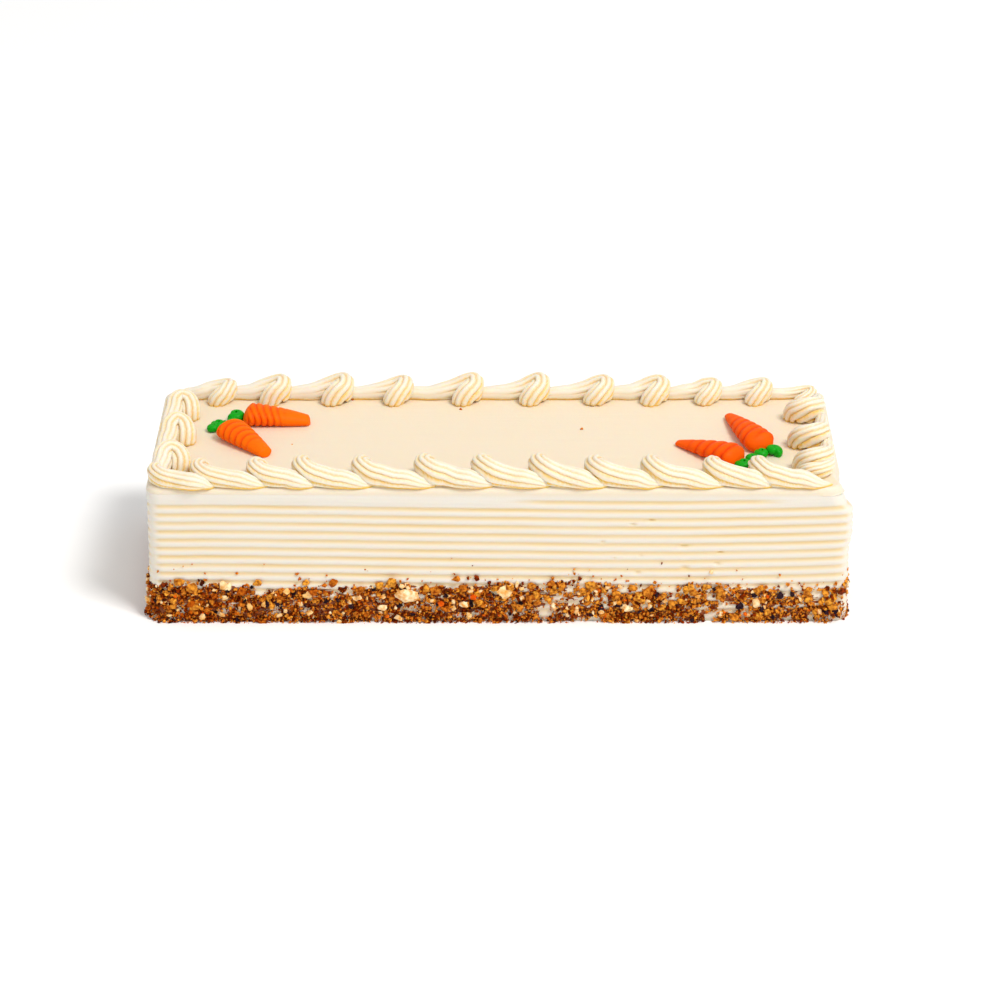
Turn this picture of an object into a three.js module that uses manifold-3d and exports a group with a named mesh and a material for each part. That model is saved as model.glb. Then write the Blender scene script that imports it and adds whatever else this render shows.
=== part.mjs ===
// A rectangular carrot cake: a combed, iced body with a band of cake crumbs and nuts round its foot,
// a piped shell border round its top, and four piped carrots with green tops.
// Millimetres, +Z up, the front along -Y, the origin at the middle of the underside.

import * as THREE from 'three';
import { mergeVertices } from 'three/addons/utils/BufferGeometryUtils.js';
import Module from 'manifold-3d';

const wasm = await Module();
wasm.setup();

// The iced body, measured at its top edge
const cakeLength = 330;
const cakeWidth = 113;
const cakeHeight = 69;
const cornerRadius = 7;
const footFlare = 1;

// The rim above the comb marks: the right shoulder is wiped down further than the other three edges
const rimInset = 2.6;
const rimDrop = 2.8;
const rimSteps = 3;
const shoulderInset = 6.2;
const shoulderDrop = 8;
const shoulderStart = 150;

// The right wall leans in towards its top, behind a lip of icing at its front corner
const rightLean = 4;
const lipLength = 12;

// Segments along a quarter turn of the outline
const cornerSteps = 3;

// The marks of the icing comb
const firstGroove = 10.2;
const groovePitch = 4.35;
const grooveCount = 10;
const grooveHalfWidth = 0.95;
const grooveDepth = 1.2;

// The band of crumbs, and the chopped nuts that stand out of it
const bandHeight = 21.5;
const bandProud = 2.9;
const bandRagged = 3;
const bandTuck = 2;
const crumbSpacing = 6.2;
const crumbRows = 4;
const nutCount = 42;
const nutSize = 5.6;
const nutProud = 1.9;
const nutLowest = 2;
const roundStep = 0.618034;
const riseStep = 0.381966;

// A piped shell: one rope of icing that starts on the inner side, turns back over a tall head and
// runs out along the edge as a tail. Each knot is [along the border, inward, up, rope radius].
const shellHeight = 14.2;
const shellTail = 26.5;
const shellRidges = 4;
const ridgeDepth = 0.17;
const footPinch = 0.94;
const flankWrap = 0.1;
const shellKnots = [
  [8, 5.2, 2, 3.8],
  [4, 5, 5.8, 4.8],
  [-0.9, 2.5, 8.7, 5],
  [-1.2, -1.8, 9.2, 5],
  [3, -4.1, 8.1, 4.9],
  [8.6, -4.8, 5.7, 4.7],
  [14.6, -5.4, 4.8, 4.7],
  [20.8, -5.8, 4.3, 4.5],
  [27, -5.5, 3.5, 4],
];
const headKnots = 5;
const turnMiddle = new THREE.Vector2(3.4, 0.3);
const fitGap = 0.3;

// The border in piping order. Each side lists its heads by their place along it and their height,
// and the first head of the front by how far it hangs out as well.
const frontHeads = [
  [-158.5, 9.6, 1.6], [-138.6, 11.4], [-111.9, 11.6], [-90.7, 12.9], [-62.6, 12.8], [-32.9, 13.8],
  [-6.2, 13.8], [20.6, 14], [46.3, 12.9], [72.9, 12.9], [101.6, 12.3], [123.2, 12],
];
const rightHeads = [[-43, 7.5], [-36, 12.6], [-10.5, 13.2], [20, 12.8]];
const backHeads = [
  [152, 6.6], [128.8, 10.8], [104.2, 10.6], [78.4, 12.5], [50.6, 12.4], [19, 13.3],
  [-13.7, 13.5], [-48.1, 12.1], [-77.8, 13.7], [-108.4, 13.1], [-134.4, 10.6],
];
const leftHeads = [[26.8, 13], [-1.2, 13.6], [-33, 13.6]];
const sideInset = { front: 10, right: 16.6, back: 11, left: 11 };
const lastTail = { front: 33, right: 26, back: 24, left: 16 };

// How thick the tails run on each side, as a share of the front's
const tailShare = { front: 1, right: 0.72, back: 0.74, left: 0.88 };

// The piped carrots, lying on their flat sides: crown, tip and the blobs of the green top.
// The profile runs from crown to tip: [share of the length, share of the width], ridge and groove in turn.
const carrotHalfWidth = 7.6;
const carrotHeight = 9.6;
const carrotBow = 1.4;
const carrotSides = 8;
const carrotFlank = 0.7;
const carrotProfile = [
  [0, 0.5], [0.035, 0.84], [0.1, 0.95], [0.174, 0.86], [0.235, 0.97], [0.309, 0.83], [0.369, 0.92],
  [0.443, 0.77], [0.504, 0.86], [0.578, 0.71], [0.638, 0.77], [0.712, 0.64], [0.773, 0.66],
  [0.88, 0.54], [0.965, 0.42], [1, 0.26],
];
const leafHeight = 4.6;
const leafRise = 1.9;
const leafSides = 8;
const leafBands = 6;
const carrots = {
  left_back: {
    crown: [-124.2, 18.4],
    tip: [-91.5, 15.8],
    leaves: [[-127.6, 20.8, 4.7], [-128.6, 16.4, 2.6]],
  },
  left_front: {
    crown: [-132, 4.6],
    tip: [-109.3, -22.5],
    leaves: [[-137.6, 7.6, 3.4], [-135.4, 10.8, 3.9], [-133.4, 12.8, 2.2]],
  },
  right_front: {
    crown: [114.2, -31.4],
    tip: [84.8, -7.3],
    leaves: [[115.8, -34, 3.6], [119.2, -29.4, 3.9]],
  },
  right_back: {
    crown: [125.8, -17.8],
    tip: [111.6, 24],
    leaves: [[124.9, -21.4, 3.7], [130.4, -19, 4.4]],
  },
};

const icingCream = 0xf6ead4;
const carrotOrange = 0xff6a08;
const leafGreen = 0x0a9a1c;

// Seeded draws, the same on every run
function seededRandom(seed) {
  let state = seed;
  return () => {
    state = (state * 1664525 + 1013904223) % 4294967296;
    return state / 4294967296;
  };
}

// A closed solid through a stack of rings, each ring anticlockwise about the way the stack runs
function loft(rings) {
  const sides = rings[0].length;
  const geometry = new THREE.CylinderGeometry(1, 1, 1, sides, rings.length - 1);
  geometry.deleteAttribute('normal');
  geometry.deleteAttribute('uv');
  const position = geometry.getAttribute('position');
  const point = new THREE.Vector3();
  for (let i = 0; i < position.count; i++) {
    point.fromBufferAttribute(position, i);
    const ring = rings[Math.round((point.y + 0.5) * (rings.length - 1))];
    if (Math.hypot(point.x, point.z) < 0.5) {
      point.set(0, 0, 0);
      for (const corner of ring) point.addScaledVector(corner, 1 / sides);
    } else {
      const turn = Math.atan2(point.x, point.z) / (2 * Math.PI);
      point.copy(ring[Math.round((turn + 1) * sides) % sides]);
    }
    position.setXYZ(i, point.x, point.y, point.z);
  }
  return mergeVertices(geometry, 1e-4);
}

function toSolid(geometry, matrix) {
  const bare = geometry.clone();
  bare.deleteAttribute('normal');
  bare.deleteAttribute('uv');
  if (matrix) bare.applyMatrix4(matrix);
  const merged = mergeVertices(bare, 1e-4);
  return new wasm.Manifold(new wasm.Mesh({
    numProp: 3,
    vertProperties: merged.getAttribute('position').array,
    triVerts: new Uint32Array(merged.index.array),
  }));
}

// The largest body of a solid: a cut can leave a loose scrap, which is dropped
function toGeometry(solid) {
  const bodies = solid.decompose().sort((a, b) => b.volume() - a.volume());
  const mesh = bodies[0].getMesh();
  const geometry = new THREE.BufferGeometry();
  const points = new Float32Array(mesh.vertProperties);
  const corners = new Uint32Array(mesh.triVerts);
  geometry.setAttribute('position', new THREE.BufferAttribute(points, 3));
  geometry.setIndex(new THREE.BufferAttribute(corners, 1));
  return geometry;
}

// The cake's outline as a round-cornered rectangle, drawn in from the sides by inset,
// and along the right wall by lean as well
function cakeOutline(inset, rightInset, lean = 0) {
  const shape = new THREE.Shape();
  const left = -cakeLength / 2 + inset;
  const right = cakeLength / 2 - rightInset;
  const side = cakeWidth / 2 - inset;
  const r = cornerRadius;
  shape.moveTo(left + r, -side);
  shape.lineTo(right - r, -side);
  shape.absarc(right - r, -side + r, r, -Math.PI / 2, 0);
  shape.lineTo(right - lean, -side + r + lipLength);
  shape.lineTo(right - lean, side - r);
  shape.absarc(right - lean - r, side - r, r, 0, Math.PI / 2);
  shape.lineTo(left + r, side);
  shape.absarc(left + r, side - r, r, Math.PI / 2, Math.PI);
  shape.lineTo(left, -side + r);
  shape.absarc(left + r, -side + r, r, Math.PI, 1.5 * Math.PI);
  return shape;
}

function outlineRing(inset, rightInset, z) {
  const lean = rightLean * (z / cakeHeight);
  const points = cakeOutline(inset, rightInset, lean).getPoints(cornerSteps);
  const ring = points.filter((p, i) => i === 0 || p.distanceTo(points[i - 1]) > 1e-3);
  if (ring[0].distanceTo(ring[ring.length - 1]) < 1e-3) ring.pop();
  return ring.map((p) => new THREE.Vector3(p.x, p.y, z));
}

// How far the rim falls away from the top, at a place along the cake's length
function rimFall(x) {
  const share = THREE.MathUtils.smoothstep(x, shoulderStart, cakeLength / 2);
  return THREE.MathUtils.lerp(rimDrop, shoulderDrop, share);
}

// The iced block: flared foot, combed walls, smooth rim and wiped-down right shoulder
function combedBody() {
  const levels = [[0, 0]];
  for (let i = grooveCount - 1; i >= 0; i--) {
    const drop = firstGroove + i * groovePitch;
    levels.push([cakeHeight - drop - grooveHalfWidth, 0]);
    levels.push([cakeHeight - drop, grooveDepth]);
    levels.push([cakeHeight - drop + grooveHalfWidth, 0]);
  }
  const rings = levels.map(([z, depth]) => {
    const inset = depth - footFlare * (1 - z / cakeHeight);
    return outlineRing(inset, inset, z);
  });
  for (let i = 0; i <= rimSteps; i++) {
    const turn = (i / rimSteps) * Math.PI / 2;
    const drawnIn = 1 - Math.cos(turn);
    const ring = outlineRing(rimInset * drawnIn, shoulderInset * drawnIn, cakeHeight);
    for (const point of ring) point.z -= rimFall(point.x) * (1 - Math.sin(turn));
    rings.push(ring);
  }
  return loft(rings);
}

// The crumb band: a skirt of bumps with a ragged top, which is tucked into the wall
function crumbBand() {
  const random = seededRandom(11);
  const outline = cakeOutline(0, 0);
  const columns = Math.round(outline.getLength() / crumbSpacing);
  const spots = outline.getSpacedPoints(columns).slice(0, columns);
  const rings = [];
  for (let row = 0; row <= crumbRows; row++) {
    const top = row === crumbRows;
    rings.push(spots.map((spot, i) => {
      const before = spots[(i + columns - 1) % columns];
      const after = spots[(i + 1) % columns];
      const outward = new THREE.Vector2(after.y - before.y, before.x - after.x).normalize();
      const bump = THREE.MathUtils.lerp(0.15, 1, random());
      const proud = top ? -bandTuck : footFlare + bandProud * bump;
      const ragged = row === 0 ? 0 : (random() - 0.5) * bandRagged;
      const z = (row / crumbRows) * bandHeight + ragged + (top ? bandRagged / 2 : 0);
      return new THREE.Vector3(spot.x + outward.x * proud, spot.y + outward.y * proud, z);
    }));
  }
  return loft(rings);
}

// Chopped nuts and large crumbs, largest first, spread evenly round the foot
function nutPieces() {
  const random = seededRandom(29);
  const outline = cakeOutline(-nutProud, -nutProud);
  const pieces = [];
  for (let i = 0; i < nutCount; i++) {
    const spot = outline.getPointAt((i * roundStep) % 1);
    const size = THREE.MathUtils.lerp(nutSize, 0.6 * nutSize, i / nutCount);
    const piece = new THREE.IcosahedronGeometry(size / 2, 0);
    piece.scale(1, THREE.MathUtils.lerp(0.6, 0.9, random()), THREE.MathUtils.lerp(0.55, 0.85, random()));
    piece.rotateX(random() * Math.PI);
    piece.rotateZ(random() * Math.PI);
    piece.translate(spot.x, spot.y, THREE.MathUtils.lerp(nutLowest, bandHeight, (i * riseStep) % 1));
    pieces.push(piece);
  }
  return pieces;
}

function iceTheCake() {
  const reach = footFlare + bandProud;
  const envelope = new THREE.BoxGeometry(cakeLength + 2 * reach, cakeWidth + 2 * reach, cakeHeight);
  envelope.translate(0, 0, cakeHeight / 2);
  let cake = toSolid(combedBody()).add(toSolid(crumbBand()));
  for (const piece of nutPieces()) cake = cake.add(toSolid(piece));
  return toGeometry(cake.intersect(toSolid(envelope)));
}

// One ring of the rope at a knot: ridged above, flat where it sits on the icing
function ropeRing(centre, along, radius, grow) {
  const level = new THREE.Vector3(-along.y, along.x, 0).normalize();
  const up = new THREE.Vector3().crossVectors(along, level).normalize();
  const ring = [];
  const flats = 2 * shellRidges;
  for (let i = 0; i <= flats; i++) {
    const foot = i === 0 || i === flats;
    const wrap = foot ? 0 : flankWrap;
    const turn = THREE.MathUtils.lerp(-wrap, Math.PI + wrap, i / flats);
    const crest = i % 2 === 0 ? 1 : 1 - ridgeDepth;
    const reach = (foot ? footPinch : crest) * radius + grow;
    const point = centre.clone().addScaledVector(level, Math.cos(turn) * reach);
    if (foot) point.z = -grow;
    else point.addScaledVector(up, Math.sin(turn) * reach);
    ring.push(point);
  }
  return ring;
}

// The two legs of the turn meet at its middle and don't cross it
function keepOffMiddle(ring, centre) {
  const outward = new THREE.Vector2(centre.x, centre.y).sub(turnMiddle).normalize();
  for (const point of ring) {
    const short = fitGap - new THREE.Vector2(point.x, point.y).sub(turnMiddle).dot(outward);
    if (short > 0) {
      point.x += outward.x * short;
      point.y += outward.y * short;
    }
  }
  return ring;
}

// A shell of the given head height, tail length and tail thickness, its head's crest over its own origin
function shellGeometry({ height, tail, tailThick }, grow = 0) {
  const tall = height / shellHeight;
  const last = shellKnots.length - 1;
  const knots = shellKnots.map(([x, y, z, radius], i) => {
    const onTail = Math.max(0, (i - headKnots + 1) / (last - headKnots + 1));
    const pastHead = Math.max(0, (i - headKnots) / (last - headKnots));
    const stretch = THREE.MathUtils.lerp(1, tail / shellTail, onTail);
    const squash = THREE.MathUtils.lerp(tall, 1, pastHead);
    const thickness = THREE.MathUtils.lerp(0.25, 1, squash) * THREE.MathUtils.lerp(1, tailThick, onTail);
    const rise = squash * THREE.MathUtils.lerp(1, tailThick, onTail);
    return { at: new THREE.Vector3(x * stretch, y, z * rise), radius: radius * thickness };
  });
  const route = new THREE.CatmullRomCurve3(knots.map((knot) => knot.at));
  const rings = knots.map((knot, i) => {
    const ring = ropeRing(knot.at, route.getTangent(i / last), knot.radius, grow);
    return i >= 1 && i <= headKnots ? keepOffMiddle(ring, knot.at) : ring;
  });
  return loft(rings);
}

// Every shell of the border: its name, place, turn and sizes, in piping order
function borderPlan() {
  const sides = [
    { name: 'front', heads: frontHeads, turn: 0, step: 1 },
    { name: 'right', heads: rightHeads, turn: Math.PI / 2, step: 1 },
    { name: 'back', heads: backHeads, turn: Math.PI, step: -1 },
    { name: 'left', heads: leftHeads, turn: -Math.PI / 2, step: -1 },
  ];
  const plan = [];
  for (const { name, heads, turn, step } of sides) {
    heads.forEach(([place, height, hangs = 0], i) => {
      const inset = sideInset[name] - hangs;
      const across = name === 'front' ? -cakeWidth / 2 + inset : cakeWidth / 2 - inset;
      const sideways = name === 'left' ? -cakeLength / 2 + inset : cakeLength / 2 - inset;
      const alongX = name === 'front' || name === 'back';
      const next = heads[i + 1];
      plan.push({
        name: 'shell_' + name + '_' + String(i + 1).padStart(2, '0'),
        x: alongX ? place : sideways,
        y: alongX ? across : place,
        turn,
        height,
        tail: next ? step * (next[0] - place) : lastTail[name],
        tailThick: tailShare[name],
      });
    });
  }
  return plan;
}

function placeMatrix({ x, y, turn }) {
  const matrix = new THREE.Matrix4().makeRotationZ(turn);
  return matrix.setPosition(x, y, cakeHeight);
}

// The border: each tail is cut to the head that is piped over it
function pipeBorder(material) {
  const border = new THREE.Group();
  const plan = borderPlan();
  plan.forEach((shell, i) => {
    const next = plan[(i + 1) % plan.length];
    const toOwn = placeMatrix(shell).invert();
    const over = toOwn.multiply(placeMatrix(next));
    const solid = toSolid(shellGeometry(shell));
    const cut = solid.subtract(toSolid(shellGeometry(next, fitGap), over));
    const mesh = new THREE.Mesh(toGeometry(cut), material.clone());
    mesh.name = shell.name;
    mesh.position.set(shell.x, shell.y, cakeHeight);
    mesh.rotation.z = shell.turn;
    border.add(mesh);
  });
  return border;
}

// One ring across a carrot: a flat foot and a domed back, bowed towards the tip
function carrotRing(x, share, grow) {
  const halfWidth = carrotHalfWidth * share + grow;
  const height = carrotHeight * THREE.MathUtils.lerp(0.2, 1, share) + grow;
  const ring = [];
  for (let i = 0; i < carrotSides; i++) {
    const foot = i === 0 || i === carrotSides - 1;
    const turn = (i / (carrotSides - 1)) * Math.PI;
    const across = Math.cos(turn) * halfWidth;
    const rise = Math.sin(turn) ** carrotFlank * height;
    const bow = carrotBow * share * (1 - (across / halfWidth) ** 2);
    ring.push(new THREE.Vector3(x + bow, across, foot ? -grow : rise));
  }
  return ring;
}

// A carrot along +X from its crown, or the same carrot grown by a gap to cut room for it
function carrotGeometry(length, grow = 0) {
  const last = carrotProfile.length - 1;
  return loft(carrotProfile.map(([along, width], i) => {
    const ends = { 0: -grow, [last]: grow };
    return carrotRing(length * along + (ends[i] ?? 0), width, grow);
  }));
}

// The green top: squashed blobs, flat below and clear of the crown
function leafGeometry(leaves, keepOut) {
  let top = null;
  for (const [x, y, size] of leaves) {
    const blob = new THREE.SphereGeometry(1, leafSides, leafBands);
    blob.rotateX(Math.PI / 2);
    blob.scale(size, size, leafHeight / 2);
    blob.translate(x, y, leafRise);
    top = top ? top.add(toSolid(blob)) : toSolid(blob);
  }
  const above = new THREE.BoxGeometry(2 * cakeLength, 2 * cakeWidth, leafHeight * 2);
  above.translate(0, 0, leafHeight);
  return toGeometry(top.intersect(toSolid(above)).subtract(keepOut));
}

function pipeCarrots(orange, green) {
  const group = new THREE.Group();
  group.position.z = cakeHeight;
  for (const [name, { crown, tip, leaves }] of Object.entries(carrots)) {
    const from = new THREE.Vector2(...crown);
    const to = new THREE.Vector2(...tip);
    const length = from.distanceTo(to);
    const turn = to.clone().sub(from).angle();
    const root = new THREE.Mesh(carrotGeometry(length), orange.clone());
    root.name = 'carrot_' + name;
    root.position.set(from.x, from.y, 0);
    root.rotation.z = turn;
    root.updateMatrix();
    const keepOut = toSolid(carrotGeometry(length, fitGap), root.matrix);
    const top = new THREE.Mesh(leafGeometry(leaves, keepOut), green.clone());
    top.name = 'leaf_' + name;
    group.add(root, top);
  }
  return group;
}

const cake = new THREE.Group();
const icing = new THREE.MeshStandardMaterial({ color: icingCream, roughness: 0.55 });
const orange = new THREE.MeshStandardMaterial({ color: carrotOrange, roughness: 0.35 });
const green = new THREE.MeshStandardMaterial({ color: leafGreen, roughness: 0.35 });

const body = new THREE.Mesh(iceTheCake(), icing.clone());
body.name = 'cake_body';
cake.add(body, pipeBorder(icing), pipeCarrots(orange, green));

export default cake;
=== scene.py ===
import math
import random

import bpy
import numpy as np
from mathutils import Matrix, Vector, noise


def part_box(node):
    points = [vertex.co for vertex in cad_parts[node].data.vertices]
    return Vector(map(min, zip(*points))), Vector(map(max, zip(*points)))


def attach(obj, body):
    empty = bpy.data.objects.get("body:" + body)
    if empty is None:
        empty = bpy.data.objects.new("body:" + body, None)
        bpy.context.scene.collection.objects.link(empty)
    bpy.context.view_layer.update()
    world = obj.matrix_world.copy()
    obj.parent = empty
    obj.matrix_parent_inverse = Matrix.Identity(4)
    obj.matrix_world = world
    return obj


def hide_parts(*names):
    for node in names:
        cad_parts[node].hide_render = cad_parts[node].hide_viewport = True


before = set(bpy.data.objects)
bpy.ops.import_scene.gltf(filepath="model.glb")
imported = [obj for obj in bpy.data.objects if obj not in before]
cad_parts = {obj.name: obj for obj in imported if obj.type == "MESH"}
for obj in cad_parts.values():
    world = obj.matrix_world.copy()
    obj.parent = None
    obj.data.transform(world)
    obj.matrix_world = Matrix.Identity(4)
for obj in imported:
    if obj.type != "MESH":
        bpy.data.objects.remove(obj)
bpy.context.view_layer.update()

mm = 0.001

# sizes that every piece shares: the top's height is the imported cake's
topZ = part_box("cake_body")[1].z
icing = {
    "length": 330 * mm,          # the iced block, without the crumbs
    "width": 113 * mm,
    "corner": 7 * mm,
    "flare": 1 * mm,             # how far the foot stands out below the rim
}


def clearSelection():
    if bpy.context.object and bpy.context.object.mode != "OBJECT":
        bpy.ops.object.mode_set(mode="OBJECT")
    bpy.ops.object.select_all(action="DESELECT")


def smoothStep(low, high, value):
    t = np.clip((value - low) / (high - low), 0, 1)
    return t * t * (3 - 2 * t)


def sleeve(name, rings, capEnds=True):
    # a grid rolled round into a sleeve: a row for each ring, the seam merged, the ends filled
    clearSelection()
    stations, points = rings.shape[:2]
    bpy.ops.mesh.primitive_grid_add(x_subdivisions=points, y_subdivisions=stations - 1, size=1)
    piece = bpy.context.object
    piece.name = piece.data.name = name
    rolled = np.concatenate([rings, rings[:, :1]], axis=1)
    piece.data.vertices.foreach_set("co", rolled.astype(np.float32).reshape(-1))
    piece.data.update()
    bpy.ops.object.mode_set(mode="EDIT")
    bpy.ops.mesh.select_all(action="SELECT")
    bpy.ops.mesh.remove_doubles(threshold=1e-7)
    if capEnds:
        bpy.ops.mesh.fill_holes(sides=0)
    bpy.ops.mesh.select_all(action="SELECT")
    bpy.ops.mesh.normals_make_consistent(inside=False)
    bpy.ops.object.mode_set(mode="OBJECT")
    bpy.ops.object.shade_smooth()
    return piece


def tagVertices(piece, name, values):
    # a number on each vertex that the material reads as an attribute
    layer = piece.data.attributes.new(name, "FLOAT", "POINT")
    layer.data.foreach_set("value", np.asarray(values, dtype=np.float32))


def tagRings(piece, name, values):
    # the same for a sleeve, whose merged seam leaves one vertex for each point of a ring
    count = len(piece.data.vertices)
    values = np.asarray(values)
    stations, points = values.shape
    if count == stations * points:
        tagVertices(piece, name, np.clip(values, 0, 1).reshape(-1))
    else:
        raise SystemExit(name + ": the seam of " + piece.name + " did not merge cleanly")


def finishPiece(piece, material, slot, *nodes):
    piece.data.materials.clear()
    piece.data.materials.append(material)
    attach(piece, "root")
    if nodes:
        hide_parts(*nodes)
    return piece


# materials

def linear(hexColour):
    channels = [int(hexColour[i:i + 2], 16) / 255 for i in (1, 3, 5)]
    return tuple(c / 12.92 if c <= 0.04045 else ((c + 0.055) / 1.055) ** 2.4 for c in channels) + (1.0,)


def newMaterial(name):
    material = bpy.data.materials.new(name)
    material.use_nodes = True
    material.node_tree.nodes.clear()
    return material


def addNode(material, kind, inputs=None, **settings):
    node = material.node_tree.nodes.new(kind)
    for key, value in settings.items():
        setattr(node, key, value)
    for key, value in (inputs or {}).items():
        if isinstance(value, bpy.types.NodeSocket):
            material.node_tree.links.new(value, node.inputs[key])
        else:
            node.inputs[key].default_value = value
    return node


def creamMaterial(name, look):
    # whipped cream-cheese icing: fat and sugar let light in, and the hollows are painted a warmer,
    # deeper cream, a painted shade and glow, so that they don't go grey
    m = newMaterial(name)
    place = addNode(m, "ShaderNodeTexCoord").outputs["Object"]
    hollowShade = addNode(m, "ShaderNodeAttribute", attribute_name="hollowShade").outputs["Fac"]
    cloud = addNode(m, "ShaderNodeTexNoise", {"Vector": place, "Scale": 1 / look["cloudSize"],
                                              "Detail": 3})
    tone = addNode(m, "ShaderNodeMix", {0: cloud.outputs["Fac"], 6: linear(look["light"]),
                                        7: linear(look["warm"])}, data_type="RGBA")
    deep = addNode(m, "ShaderNodeMix", {0: hollowShade, 6: tone.outputs[2], 7: linear(look["hollowShade"])},
                   data_type="RGBA")
    if "crown" in look:
        # painted shade and painted light: the top and the rim are painted a warmer cream than the combed
        # walls as painted shade, and the icing among the crumbs too, as painted light over the crumbs'
        # grey shade
        crowned = addNode(m, "ShaderNodeAttribute", attribute_name="crowned").outputs["Fac"]
        deep = addNode(m, "ShaderNodeMix", {0: crowned, 6: deep.outputs[2], 7: linear(look["crown"])},
                       data_type="RGBA")
    if "dust" in look:
        # crumb dust pressed into the icing, and painted shade: the gaps between the crumbs are painted
        # dark and oily-brown, where the crumbs' shade falls
        dustedAndShaded = addNode(m, "ShaderNodeAttribute", attribute_name="dustedAndShaded").outputs["Fac"]
        scatter = addNode(m, "ShaderNodeTexNoise", {"Vector": place, "Scale": 1 / look["dustSize"],
                                                    "Detail": 3})
        reach = addNode(m, "ShaderNodeMath", {0: dustedAndShaded, 1: scatter.outputs["Fac"]}, operation="ADD")
        edge = addNode(m, "ShaderNodeMapRange", {"Value": reach.outputs[0], "From Min": 0.98,
                                                 "From Max": 1.08})
        speckle = addNode(m, "ShaderNodeTexVoronoi", {"Vector": place, "Scale": 1 / look["dustSize"]})
        dust = addNode(m, "ShaderNodeMix", {0: speckle.outputs["Distance"], 6: linear(look["dust"]),
                                            7: linear(look["dustLight"])}, data_type="RGBA")
        deep = addNode(m, "ShaderNodeMix", {0: edge.outputs["Result"], 6: deep.outputs[2],
                                            7: dust.outputs[2]}, data_type="RGBA")
    # the fine bubbles of whipped fat, 0.4 mm, and the longer drag marks of the spatula
    grain = addNode(m, "ShaderNodeTexNoise", {"Vector": place, "Scale": 1 / look["grainSize"],
                                              "Detail": 4})
    stretch = addNode(m, "ShaderNodeMapping", {"Vector": place, "Scale": (0.08, 1, 1)})
    drag = addNode(m, "ShaderNodeTexNoise",
                   {"Vector": stretch.outputs["Vector"], "Scale": 1 / look["dragWidth"], "Detail": 2})
    fine = addNode(m, "ShaderNodeBump", {"Height": grain.outputs["Fac"], "Distance": look["grainDepth"]})
    marks = addNode(m, "ShaderNodeBump", {"Height": drag.outputs["Fac"], "Distance": look["dragDepth"],
                                          "Normal": fine.outputs["Normal"]})
    shader = addNode(m, "ShaderNodeBsdfPrincipled", {
        "Base Color": deep.outputs[2], "Roughness": look["roughness"], "IOR": 1.45,
        "Subsurface Weight": look["glow"], "Subsurface Radius": (1.0, 0.62, 0.3),
        "Subsurface Scale": look["glowDepth"], "Normal": marks.outputs["Normal"]})
    addNode(m, "ShaderNodeOutputMaterial", {"Surface": shader.outputs["BSDF"]})
    return m


smoothIcing = creamMaterial("creamCheeseIcingCombed", {
    # the hollow colour is painted shade for the grooves, the pits and the rim; the crown colour paints
    # the top a warmer cream, also painted shade
    "light": "#E2DDD3", "warm": "#E1D9CB", "hollowShade": "#E5CA94", "crown": "#EADAC0",
    "cloudSize": 30 * mm,
    # the dust colours: crumb dust and painted shade between the crumbs
    "dust": "#4C1402", "dustLight": "#A85410", "dustSize": 1.3 * mm,
    "grainSize": 0.9 * mm, "grainDepth": 0.05 * mm, "dragWidth": 5 * mm, "dragDepth": 0.2 * mm,
    "roughness": 0.5, "glow": 0.35, "glowDepth": 2.5 * mm})
pipedIcing = creamMaterial("creamCheeseIcingPiped", {
    # the hollow colour is the painted gold shade and glow of the shells' hollows
    "light": "#ECE6DA", "warm": "#ECE1CA", "hollowShade": "#F2BE2E", "cloudSize": 12 * mm,
    "grainSize": 0.8 * mm, "grainDepth": 0.05 * mm, "dragWidth": 3 * mm, "dragDepth": 0.02 * mm,
    "roughness": 0.45, "glow": 0.4, "glowDepth": 2 * mm})


def crumbMaterial(name, look):
    # dry baked crumb: matt and pitted, each crumb with its own browning held in the attribute tone
    m = newMaterial(name)
    place = addNode(m, "ShaderNodeTexCoord").outputs["Object"]
    tone = addNode(m, "ShaderNodeAttribute", attribute_name="tone").outputs["Fac"]
    mottle = addNode(m, "ShaderNodeTexNoise", {"Vector": place, "Scale": 1 / look["mottleSize"],
                                               "Detail": 3})
    spread = addNode(m, "ShaderNodeMapRange", {"Value": mottle.outputs["Fac"], "From Min": 0.35,
                                               "From Max": 0.68})
    crust = addNode(m, "ShaderNodeMix", {0: tone, 6: linear(look["light"]), 7: linear(look["dark"])},
                    data_type="RGBA")
    burnt = addNode(m, "ShaderNodeMix", {0: spread.outputs["Result"], 6: crust.outputs[2],
                                         7: linear(look["speck"])}, data_type="RGBA")
    bump = addNode(m, "ShaderNodeBump", {"Height": mottle.outputs["Fac"], "Distance": look["pitDepth"]})
    shader = addNode(m, "ShaderNodeBsdfPrincipled", {
        "Base Color": burnt.outputs[2], "Roughness": look["roughness"], "IOR": 1.45,
        "Specular IOR Level": 0.15, "Specular Tint": linear(look["light"]),
        "Subsurface Weight": look["glow"], "Subsurface Radius": (1.0, 0.5, 0.25),
        "Subsurface Scale": 1 * mm, "Normal": bump.outputs["Normal"]})
    addNode(m, "ShaderNodeOutputMaterial", {"Surface": shader.outputs["BSDF"]})
    return m


caramelCrumb = crumbMaterial("bakedCarrotCakeCrumbToasted", {
    "light": "#FFB03C", "dark": "#C65202", "speck": "#943400", "mottleSize": 0.9 * mm,
    "pitDepth": 0.25 * mm, "roughness": 0.5, "glow": 0.15})
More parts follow.
